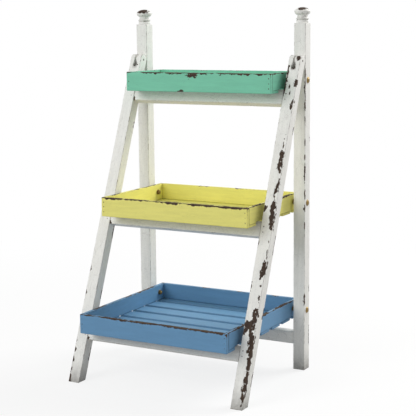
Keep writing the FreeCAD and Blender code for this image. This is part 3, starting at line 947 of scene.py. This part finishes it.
# Runs of bare wood on a leg's front: place across the leg, place below the pin and half width, in mm
LEG_STRIPS = {
    "right": [
        [(-15, 12, 1), (-14, 24, 2.4), (-14, 34, 2.6), (-14, 46, 3.2), (-13, 58, 3.5), (-14, 72, 3),
         (-15, 84, 2.5), (-15, 97, 1.5)],
        [(9, -12, 3), (10, -4, 5), (11, 6, 2)], [(0, 15, 3), (0, 20, 5), (0, 26, 4)],
        [(14, 54, 2), (13, 63, 4), (14, 74, 2)], [(-2, 68, 1.2), (-2, 73, 2.2), (-1, 78, 1)],
        [(2, 84, 1), (1, 89, 2), (2, 94, 1)], [(13, 104, 2), (12, 114, 4), (11, 124, 4), (12, 132, 1.5)],
        [(11, 180, 1.2), (11, 192, 2), (11, 204, 1.2)], [(10, 208, 1.4), (10, 218, 2.2), (9, 232, 1.4)],
        [(9, 237, 2.5), (8, 243, 4.5), (8, 264, 5.5), (8, 278, 5.5), (9, 288, 5), (10, 295, 2)],
        [(13, 308, 1.5), (12, 318, 2.5), (10, 330, 4), (9, 342, 4.5), (8, 352, 4), (7, 358, 1.5)],
        [(9, 361, 3), (9, 370, 5), (8, 384, 6), (9, 400, 6), (10, 415, 6), (11, 428, 5), (12, 438, 3)],
        [(-12, 376, 3), (-12, 384, 5), (-13, 393, 2)], [(-15, 462, 1), (-15, 474, 2), (-15, 486, 1)],
        [(12, 466, 1), (11, 480, 1.5), (12, 496, 1)],
        [(12, 495, 1), (12, 506, 1.6), (12, 518, 3.5), (11, 530, 5), (10, 542, 6), (9, 553, 5), (6, 561, 2)],
        [(11, 566, 1.4), (10, 578, 2.4), (11, 588, 1.2)], [(-15, 566, 1), (-15, 580, 2), (-15, 594, 1)],
        [(11, 594, 1.4), (10, 606, 2.6), (11, 618, 1.4)],
        [(9, 633, 3), (9, 643, 7), (8, 655, 7), (6, 668, 6), (5, 678, 6), (8, 690, 6), (10, 705, 6),
         (11, 720, 7), (12, 736, 7), (12, 752, 6), (13, 766, 4), (13, 778, 4), (14, 787, 2), (13, 797, 4),
         (13, 810, 5), (12, 826, 6), (12, 842, 5), (12, 853, 2.5), (12, 864, 1.2)],
        [(-9, 662, 2), (-8, 670, 6), (-8, 678, 7), (-11, 687, 5), (-13, 697, 2)],
        [(0, 666, 3), (-1, 674, 6), (0, 683, 3)],
    ],
    "left": [
        [(6, 14, 0.8), (7, 19, 1.6), (6, 24, 0.8)], [(-15, 40, 1), (-15, 47, 1.8), (-15, 54, 1)],
        [(-15, 572, 1), (-15, 579, 2), (-15, 586, 1)], [(-15, 634, 1), (-15, 642, 2), (-15, 650, 1)],
        [(-15, 764, 1), (-15, 771, 2.4), (-15, 778, 1)], [(-15, 785, 1.2), (-14, 793, 3), (-15, 800, 1.2)],
        [(-15, 808, 1.2), (-14, 817, 3), (-15, 825, 1)], [(-14, 836, 1), (-14, 841, 2), (-15, 847, 1)],
        [(-14, 852, 1.5), (-13, 861, 3.5), (-14, 870, 3)],
    ],
}
# Chips on the legs' rear edges, by the edge's place across: place below the pin and half length, in mm
LEG_EDGE_CHIPS = {16: ((180, 10), (470, 24), (640, 14), (800, 20)), -16: ((260, 14), (520, 12), (830, 18))}
# How far behind the pin these chips are, and their reach across and back, in mm
LEG_EDGE_BACK = 15
LEG_EDGE_REACH = (4, 5)
# A strip's mark: how much wider than written it is, how far its ends and its reach round an edge fade, in mm,
# and its strength
STRIP_SPREAD = 1.36
STRIP_END = 3
STRIP_ROUND = 8
STRIP_STRENGTH = 0.8


def strip_field(points, strips, face):
    """Highest along the middle of each bare strip and 0 beyond it; face is the depth of the leg's front."""
    field = np.zeros(len(points))
    across, depth, down = points[:, 0] / MM, (points[:, 1] - face) / MM, -points[:, 2] / MM
    for strip in strips:
        x, place, half = np.array(strip, float).T
        off = np.abs(across - np.interp(down, place, x)) / (STRIP_SPREAD * np.interp(down, place, half))
        end = np.maximum(place[0] - down, down - place[-1]) / STRIP_END
        off = np.maximum(off, np.maximum(end + 0.5, depth / STRIP_ROUND))
        field = np.maximum(field, np.clip(1.5 - off, 0, 1) * STRIP_STRENGTH)
    return field


def leg_chips(side, face):
    """The chips and bare strips of a leg."""
    chips = []
    for across, marks in LEG_EDGE_CHIPS.items():
        chips += [((across, LEG_EDGE_BACK, -down), (*LEG_EDGE_REACH, half)) for down, half in marks]
    return lambda points: np.maximum(chip_field(points, chips), strip_field(points, LEG_STRIPS[side], face))


def foot_dirt_and_fork_shade(floor, height):
    """Dirt on a leg's foot, and painted shade in the round end of its fork."""
    foot = foot_soil(floor, height)
    middle, half, reach = FORK_SHADE

    def soil(points):
        way = np.hypot(points[:, 0], points[:, 2] + middle)
        hole = np.where(np.abs(points[:, 0]) < half, np.clip(1.6 - way / reach, 0, 1), 0)
        return np.maximum(foot(points), hole)
    return soil


class STAND_OT_front_legs(StandOperator, bpy.types.Operator):
    """Make the two leaning front legs with their forked round tops"""
    bl_idname = "stand.front_legs"
    bl_label = "Front legs"

    def execute(self, context):
        slope = math.tan(context.scene.stand_wood.lean)
        for side in SIDES:
            low, high = leaning_box(f"{side}_front_leg")
            half_x, half_y = (high[0] - low[0]) / 2, (high[1] - low[1]) / 2
            foot = low[2] + half_y * slope
            place = leaning() @ Matrix.Translation(((low[0] + high[0]) / 2, 0, 0))
            round_topped_bar(f"{side}_front_leg", "front_frame", half_x, half_y, foot, place, LEG_FORK, slope,
                             leg_chips(side, -half_y), foot_dirt_and_fork_shade(foot, LEG_DIRT))
        return {"FINISHED"}


# Chips on a front rail's two faces: place across, way up from its lower edge, and radii, in mm
FRONT_RAIL_CHIPS = {"front": (-216, 3, (3, 3, 6)), "back": (120, 0, (12, 3, 3))}


def under_tray_shade(top):
    """Painted shadow along the top of a rail, under the tray that rests on it, thinning downward."""
    reach = 17 * MM
    return lambda points: np.clip(1.25 - (top - points[:, 2]) / reach, 0, 1) * 0.85


class STAND_OT_front_rails(StandOperator, bpy.types.Operator):
    """Make the three rails between the front legs"""
    bl_idname = "stand.front_rails"
    bl_label = "Front rails"

    def execute(self, context):
        for node in FRONT_RAILS:
            low, high = leaning_box(node)
            low[0], high[0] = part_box("left_front_leg")[1].x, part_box("right_front_leg")[0].x
            faces = {"front": low[1] / MM, "back": high[1] / MM}
            chips = [((across, faces[face], low[2] / MM + up), radii)
                     for face, (across, up, radii) in FRONT_RAIL_CHIPS.items()]
            # painted shadow of the tray along the rail's top
            board(node, "white_paint", "front_frame", 0, low, high, leaning(), chips, wear=(0.3, 0.3),
                  soil=under_tray_shade(high[2]))
        return {"FINISHED"}


class STAND_OT_hinge_pins(StandOperator, bpy.types.Operator):
    """Make the two steel hinge pins"""
    bl_idname = "stand.hinge_pins"
    bl_label = "Hinge pins"

    def execute(self, context):
        pin = context.scene.stand_metal.pin / MM
        end = [(0.6, 0.0), (2.4, 0.05), (3.1, 0.45), (pin, 1.1)]
        parts = []
        for side in SIDES:
            low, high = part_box(f"{side}_front_leg")
            half = (high.x - low.x) / 2 / MM - 0.05
            profile = [(radius, inset - half) for radius, inset in end]
            profile += [(radius, half - inset) for radius, inset in reversed(end)]
            middle = (middle_of(f"{side}_front_leg").x, *PIN_POINT.yz)
            parts.append(set_at(closed_turning(profile, 24), middle, (1, 0, 0)))
        put("hinge_pins_steel", *gathered(parts), "steel", "front_frame", ["hinge_pins"])
        return {"FINISHED"}


class STAND_OT_rail_nails(StandOperator, bpy.types.Operator):
    """Set the nails that hold the rails' tenons"""
    bl_idname = "stand.rail_nails"
    bl_label = "Rail nails"

    def execute(self, context):
        turn = leaning()
        out = (turn.to_3x3() @ Vector((0, -1, 0))).normalized()
        proud, drawn_head = 0.05 * MM, 2.25 * MM
        face = leaning_box("left_front_leg")[0][1] - proud
        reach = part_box("rail_nails")[1].x - drawn_head
        driven = nail(context.scene.stand_metal.rail_nail / MM, RAIL_NAIL_STEM)
        parts = []
        for node in FRONT_RAILS:
            low, high = leaning_box(node)
            for share in (0.32, 0.68):
                level = low[2] + share * (high[2] - low[2])
                parts += [set_at(driven, turn @ Vector((x, face, level)), out) for x in (-reach, reach)]
        put("rail_nails_steel", *gathered(parts), "steel", "front_frame", ["rail_nails"], coat="white")
        return {"FINISHED"}


# Trays

# Chips on the front boards' rims: start and end from the left, as shares of the board, and depth in mm
RIM_CHIPS = {
    "top": [(0.07, 0.24, 3.2), (0.29, 0.37, 4.0), (0.43, 0.513, 13.0), (0.52, 0.57, 5.0), (0.61, 0.88, 3.8),
            (0.90, 0.95, 4.5)],
    "middle": [(0.03, 0.136, 4.6), (0.19, 0.31, 2.8), (0.44, 0.55, 5.2), (0.626, 0.69, 5.4),
               (0.70, 0.79, 4.0), (0.80, 1.0, 4.8)],
    "bottom": [(0.09, 0.33, 2.4), (0.21, 0.33, 3.6), (0.36, 0.60, 2.6), (0.62, 0.76, 4.2), (0.77, 0.86, 3.2),
               (0.86, 1.0, 4.0)],
}
# The same for the sides and backs of all trays
SIDE_CHIPS = [(0.10, 0.26, 2.2), (0.50, 0.58, 2.6), (0.66, 0.90, 2.2)]
BACK_CHIPS = [(0.0, 0.03, 4.0), (0.30, 0.37, 2.0), (0.56, 0.60, 2.2), (0.82, 0.87, 2.0)]
# Chips on the front boards' lower edges: place across and half length, in mm
BOTTOM_CHIPS = {"top": [(-45, 12)], "middle": [], "bottom": []}
# How worn the rim and the other edges are: each tray's front and right side, and all left sides and backs
RIM_WEAR = {"top": (1.15, 0.2), "middle": (1.4, 0.2), "bottom": (1.3, 0.2)}
LEFT_WEAR = (0.42, 0.2)
BACK_WEAR = (0.36, 0.22)
# The notch in a tray's side that sits on its rail: reach before and behind the rail's edge, and height
NOTCH_BEFORE = 14 * MM
NOTCH_BEHIND = 29.751 * MM
NOTCH_HEIGHT = 10 * MM
# How far from the stand's middle the nails of the front and back boards and of the slats are
BOARD_NAILS = 203 * MM
SLAT_NAILS = 206.5 * MM
# Spacing of the mesh along, across and through a slat
SLAT_STEPS = (12 * MM, 9 * MM, 3 * MM)


def rim_chips(shares, low, high, axis, face):
    """Chips along a board's top edge, from shares of its length; face is the side that they reach down."""
    low, high = np.array(low) / MM, np.array(high) / MM
    size, thin = high - low, 1 - axis
    chips = []
    for start, end, deep in shares:
        centre = np.array([*(low + high)[:2] / 2, high[2]])
        centre[axis] = low[axis] + (start + end) / 2 * size[axis]
        centre[thin] += face * 0.5 * size[thin]
        radii = np.array([0.0, 0.0, deep])
        radii[axis] = max((end - start) / 2 * size[axis], 4.0)
        radii[thin] = size[thin] * 0.9
        chips.append((centre, radii))
    return chips


def corner_shade_and_seams(inner_low, inner_high):
    """Painted shade along the inside of a tray, strongest where wall meets floor, and dark seams at its
    corners.
    """
    slack, half_wall = 0.5 * MM, 5 * MM
    wall_reach, seam_reach = 22 * MM, 1.6 * MM

    def soil(points):
        x, y, z = points.T
        within = [(place > low - slack) & (place < high + slack)
                  for place, low, high in zip((x, y), inner_low, inner_high)]
        low_down = np.clip(1 - (z - inner_low[2]) / wall_reach, 0, 1) * 0.14
        seam = np.minimum(np.abs(y - inner_low[1]), np.abs(y - inner_high[1]))
        beyond = (x < inner_low[0] - half_wall) | (x > inner_high[0] + half_wall)
        return np.maximum(np.where(within[0] & within[1], low_down, 0.0),
                          np.where(beyond, np.clip(1 - seam / seam_reach, 0, 1), 0.0))
    return soil


def leg_shadow_and_corner_shade(corner, face):
    """Painted corner shade and seams, and painted leg shadow on the side's outer face where the leg stands
    against it.
    """
    lean = bpy.context.scene.stand_wood.lean
    leg_front = leaning_box("left_front_leg")[0][1] / math.cos(lean)
    wide, soft, skin = 26 * MM, 8 * MM, 1 * MM

    def soil(points):
        behind = points[:, 1] - PIN_POINT.y - leg_front - (points[:, 2] - PIN_POINT.z) * math.tan(lean)
        # painted shadow of the leg on the side board, darkest just in front of the leg
        near = np.clip(np.minimum(1 + behind / wide, 1 + (wide - behind) / soft), 0, 1)
        return np.maximum(corner(points), np.where(np.abs(points[:, 0] - face) < skin, near * 0.95, 0))
    return soil


class STAND_OT_trays(StandOperator, bpy.types.Operator):
    """Make the front, back and side boards of the three trays"""
    bl_idname = "stand.trays"
    bl_label = "Tray boards"

    def execute(self, context):
        for tray, colour in TRAYS.items():
            kind, body = f"{colour}_paint", f"{tray}_tray"
            left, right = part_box(f"{body}_left_side"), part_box(f"{body}_right_side")
            front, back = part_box(f"{body}_front_board"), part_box(f"{body}_back_board")
            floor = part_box(f"{body}_slat_1")[1].z
            # painted shade inside the tray, with dark seams at its corners
            soil = corner_shade_and_seams((left[1].x, front[1].y, floor), (right[0].x, back[0].y))
            chips = rim_chips(RIM_CHIPS[tray], *front, 0, -1)
            low = front[0] / MM
            chips += [((x, low.y, low.z), (half, 5, 6)) for x, half in BOTTOM_CHIPS[tray]]
            board(f"{body}_front_board", kind, body, 0, chips=chips, soil=soil, wear=RIM_WEAR[tray])
            board(f"{body}_back_board", kind, body, 0, chips=rim_chips(BACK_CHIPS, *back, 0, 1), soil=soil,
                  wear=BACK_WEAR)
            rail_low, rail_high = leaning_box(f"{tray}_front_rail")
            edge = (leaning() @ Vector((0, rail_low[1], rail_high[2]))).y
            sides = (("left", left, left[0].x, -1, LEFT_WEAR),
                     ("right", right, right[1].x, 1, RIM_WEAR[tray]))
            for side, (low, high), outer, way, wear in sides:
                notch = ((low.x - OVERRUN, edge - NOTCH_BEFORE, low.z - OVERRUN),
                         (high.x + OVERRUN, edge + NOTCH_BEHIND, front[0].z + NOTCH_HEIGHT))
                # the sides' outer faces carry a painted shadow of the leg
                board(f"{body}_{side}_side", kind, body, 1, chips=rim_chips(SIDE_CHIPS, low, high, 1, way),
                      notches=[notch], soil=leg_shadow_and_corner_shade(soil, outer), wear=wear)
        return {"FINISHED"}


def gap_shade(low, high):
    """Painted shade on the edges of a slat, in the gap to the next one, and along its ends under the walls.
    """
    wall, edge_reach, end_reach = 10 * MM, 2 * MM, 16 * MM

    def soil(points):
        edge = np.minimum(points[:, 1] - low.y, high.y - points[:, 1])
        end = np.minimum(points[:, 0] - low.x, high.x - points[:, 0]) - wall
        return np.maximum(np.clip(0.3 - edge / edge_reach, 0, 1), np.clip(0.25 - end / end_reach, 0, 0.25))
    return soil


class STAND_OT_slats(StandOperator, bpy.types.Operator):
    """Lay the floor slats of the three trays"""
    bl_idname = "stand.slats"
    bl_label = "Floor slats"

    def execute(self, context):
        for tray, colour in TRAYS.items():
            for number in range(1, SLATS[tray] + 1):
                node = f"{tray}_tray_slat_{number}"
                board(node, f"{colour}_paint", f"{tray}_tray", 0, soil=gap_shade(*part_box(node)),
                      steps=SLAT_STEPS, wear=(0.1, 0.1))
        return {"FINISHED"}


class STAND_OT_tray_nails(StandOperator, bpy.types.Operator):
    """Drive the nails of the trays' boards and slats"""
    bl_idname = "stand.tray_nails"
    bl_label = "Tray nails"

    def execute(self, context):
        driven = nail(context.scene.stand_metal.tray_nail / MM, TRAY_NAIL_STEM)
        for tray, colour in TRAYS.items():
            body = f"{tray}_tray"
            front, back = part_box(f"{body}_front_board"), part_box(f"{body}_back_board")
            parts = []
            for x in (-BOARD_NAILS, BOARD_NAILS):
                for share in (0.25, 0.5, 0.75):
                    z = front[0].z + share * (front[1].z - front[0].z)
                    parts.append(set_at(driven, (x, front[0].y, z), (0, -1, 0)))
                    parts.append(set_at(driven, (x, back[1].y, z), (0, 1, 0)))
            for number in range(1, SLATS[tray] + 1):
                low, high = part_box(f"{body}_slat_{number}")
                wide = min(high.y, back[0].y) - low.y
                for x in (-SLAT_NAILS, SLAT_NAILS):
                    for share in (0.25, 0.75):
                        parts.append(set_at(driven, (x, low.y + share * wide, low.z), (0, 0, -1)))
            put(f"{body}_nails_steel", *gathered(parts), "steel", body, [f"{body}_nails"], coat=colour)
        return {"FINISHED"}


# Stage

WHITE = (1.0, 1.0, 1.0, 1.0)
PALE = (0.9, 0.9, 0.9, 1.0)
DULL = (0.42, 0.42, 0.42, 1.0)
FLOOR_CELLS = 8
FLOOR_LEVEL = -0.2 * MM
# Where the lamps stand and point to, in metres, how wide they are, and their colours
AIM = (0.0, 0.0, 0.5)
KEY_SPOT = (1.6, 2.4, 2.5)
KEY_SIZE = 2.0
KEY_COLOUR = (1.0, 0.995, 0.98)
FILL_SPOT = (-1.4, -3.1, 2.3)
FILL_SIZE = 2.6
FILL_COLOUR = (0.99, 1.0, 1.0)


def lens_sees(mixer):
    """1 for rays from the lens and for those that it sees in metal or glass."""
    camera, glossy, through = [mixer.add("ShaderNodeLightPath", out=f"Is {kind} Ray")
                               for kind in ("Camera", "Glossy", "Transmission")]
    return camera.most(glossy).most(through)


class STAND_OT_stage(StandOperator, bpy.types.Operator):
    """Set up the floor, the soft lamps and the camera"""
    bl_idname = "stand.stage"
    bl_label = "Stage"

    def camera(self, scene, wish):
        """A camera at the photograph's place and angle."""
        data = bpy.data.cameras.new("photo_angle")
        data.lens = wish.lens
        data.sensor_width = 36.0
        data.clip_end = 100.0
        camera = bpy.data.objects.new("photo_angle", data)
        tilt = Matrix.Rotation(math.pi / 2 - wish.elevation, 4, "X") @ Matrix.Rotation(wish.roll, 4, "Z")
        camera.matrix_world = Matrix.Translation(wish.place) @ Matrix.Rotation(wish.azimuth, 4, "Z") @ tilt
        scene.collection.objects.link(camera)
        scene.camera = camera

    def lamp(self, scene, name, spot, size, watts, colour):
        """A round soft lamp that points at the stand."""
        data = bpy.data.lights.new(name, "AREA")
        data.shape = "DISK"
        data.size = size
        data.energy = watts
        data.color = colour
        lamp = bpy.data.objects.new(name, data)
        lamp.location = spot
        lamp.rotation_euler = (Vector(AIM) - Vector(spot)).to_track_quat("-Z", "Y").to_euler()
        scene.collection.objects.link(lamp)

    def floor(self, scene, wish):
        """A pale floor that the lens sees whitened, more so far from the stand, and that keeps the shadow."""
        lines = np.linspace(-wish.floor_size / 2, wish.floor_size / 2, FLOOR_CELLS + 1)
        points = [(x, y, FLOOR_LEVEL) for y in lines for x in lines]
        across = FLOOR_CELLS + 1
        corners = [row * across + column for row in range(FLOOR_CELLS) for column in range(FLOOR_CELLS)]
        faces = [(corner, corner + 1, corner + across + 1, corner + across) for corner in corners]
        mesh = bpy.data.meshes.new("floor")
        mesh.from_pydata(points, [], faces)
        mixer = Mixer(bpy.data.materials.new("pale_floor"))
        far = mixer.add("ShaderNodeVectorMath", {"operation": "LENGTH"},
                        {0: mixer.add("ShaderNodeTexCoord", out="Object")}, out="Value")
        white = wish.floor_white + (1.0 - wish.floor_white) * mixer.ease(far, 0.5, 2.0)
        pale = mixer.add("ShaderNodeBsdfDiffuse", None, {"Color": PALE})
        glow = mixer.add("ShaderNodeEmission", None, {"Color": WHITE, "Strength": 1.0})
        seen = mixer.add("ShaderNodeMixShader", None, {0: white, 1: pale, 2: glow})
        dull = mixer.add("ShaderNodeBsdfDiffuse", None, {"Color": DULL})
        mixed = mixer.add("ShaderNodeMixShader", None, {0: lens_sees(mixer), 1: dull, 2: seen})
        mixer.add("ShaderNodeOutputMaterial", None, {"Surface": mixed})
        mesh.materials.append(mixer.owner)
        floor = bpy.data.objects.new("floor", mesh)
        scene.collection.objects.link(floor)

    def room(self, scene, wish):
        """Even light from all round, which the lens sees as white."""
        mixer = Mixer(bpy.data.worlds.new("pale_room"))
        even = mixer.add("ShaderNodeBackground", None, {"Color": WHITE, "Strength": wish.room_light})
        white = mixer.add("ShaderNodeBackground", None, {"Color": WHITE, "Strength": 1.0})
        mixed = mixer.add("ShaderNodeMixShader", None, {0: lens_sees(mixer), 1: even, 2: white})
        mixer.add("ShaderNodeOutputWorld", None, {"Surface": mixed})
        scene.world = mixer.owner

    def execute(self, context):
        scene, wish = context.scene, context.scene.stand_stage
        self.camera(scene, wish)
        self.lamp(scene, "key_lamp", KEY_SPOT, KEY_SIZE, wish.key_power, KEY_COLOUR)
        self.lamp(scene, "fill_lamp", FILL_SPOT, FILL_SIZE, wish.fill_power, FILL_COLOUR)
        self.floor(scene, wish)
        self.room(scene, wish)
        scene.view_settings.view_transform = "Standard"
        return {"FINISHED"}


PIECES = (STAND_OT_rear_posts, STAND_OT_finials, STAND_OT_rear_rail, STAND_OT_hinge_tongues,
          STAND_OT_front_legs, STAND_OT_front_rails, STAND_OT_hinge_pins, STAND_OT_rail_nails, STAND_OT_bolts,
          STAND_OT_trays, STAND_OT_slats, STAND_OT_tray_nails, STAND_OT_stage)
GROUPS = {"stand_wood": StandWood, "stand_metal": StandMetal, "stand_paint": StandPaint,
          "stand_stage": StandStage}


class STAND_PT_panel(bpy.types.Panel):
    """Lists the stand's settings and the steps that make it"""
    bl_idname = "STAND_PT_panel"
    bl_label = "Plant Stand"
    bl_space_type = "VIEW_3D"
    bl_region_type = "UI"
    bl_category = "Plant Stand"

    def draw(self, context):
        for name, kind in GROUPS.items():
            box = self.layout.box()
            for setting in kind.__annotations__:
                box.prop(getattr(context.scene, name), setting)
        for step in PIECES:
            self.layout.operator(step.bl_idname)


def register():
    for name, group in GROUPS.items():
        bpy.utils.register_class(group)
        setattr(bpy.types.Scene, name, PointerProperty(type=group))
    for item in (*PIECES, STAND_PT_panel):
        bpy.utils.register_class(item)


def unregister():
    for item in (STAND_PT_panel, *reversed(PIECES)):
        bpy.utils.unregister_class(item)
    for name, group in GROUPS.items():
        delattr(bpy.types.Scene, name)
        bpy.utils.unregister_class(group)


def main():
    register()
    for step in PIECES:
        group, name = step.bl_idname.split(".")
        if getattr(getattr(bpy.ops, group), name)() != {"FINISHED"}:
            raise RuntimeError(f"{step.bl_label} was not made")


if __name__ == "__main__":
    main()
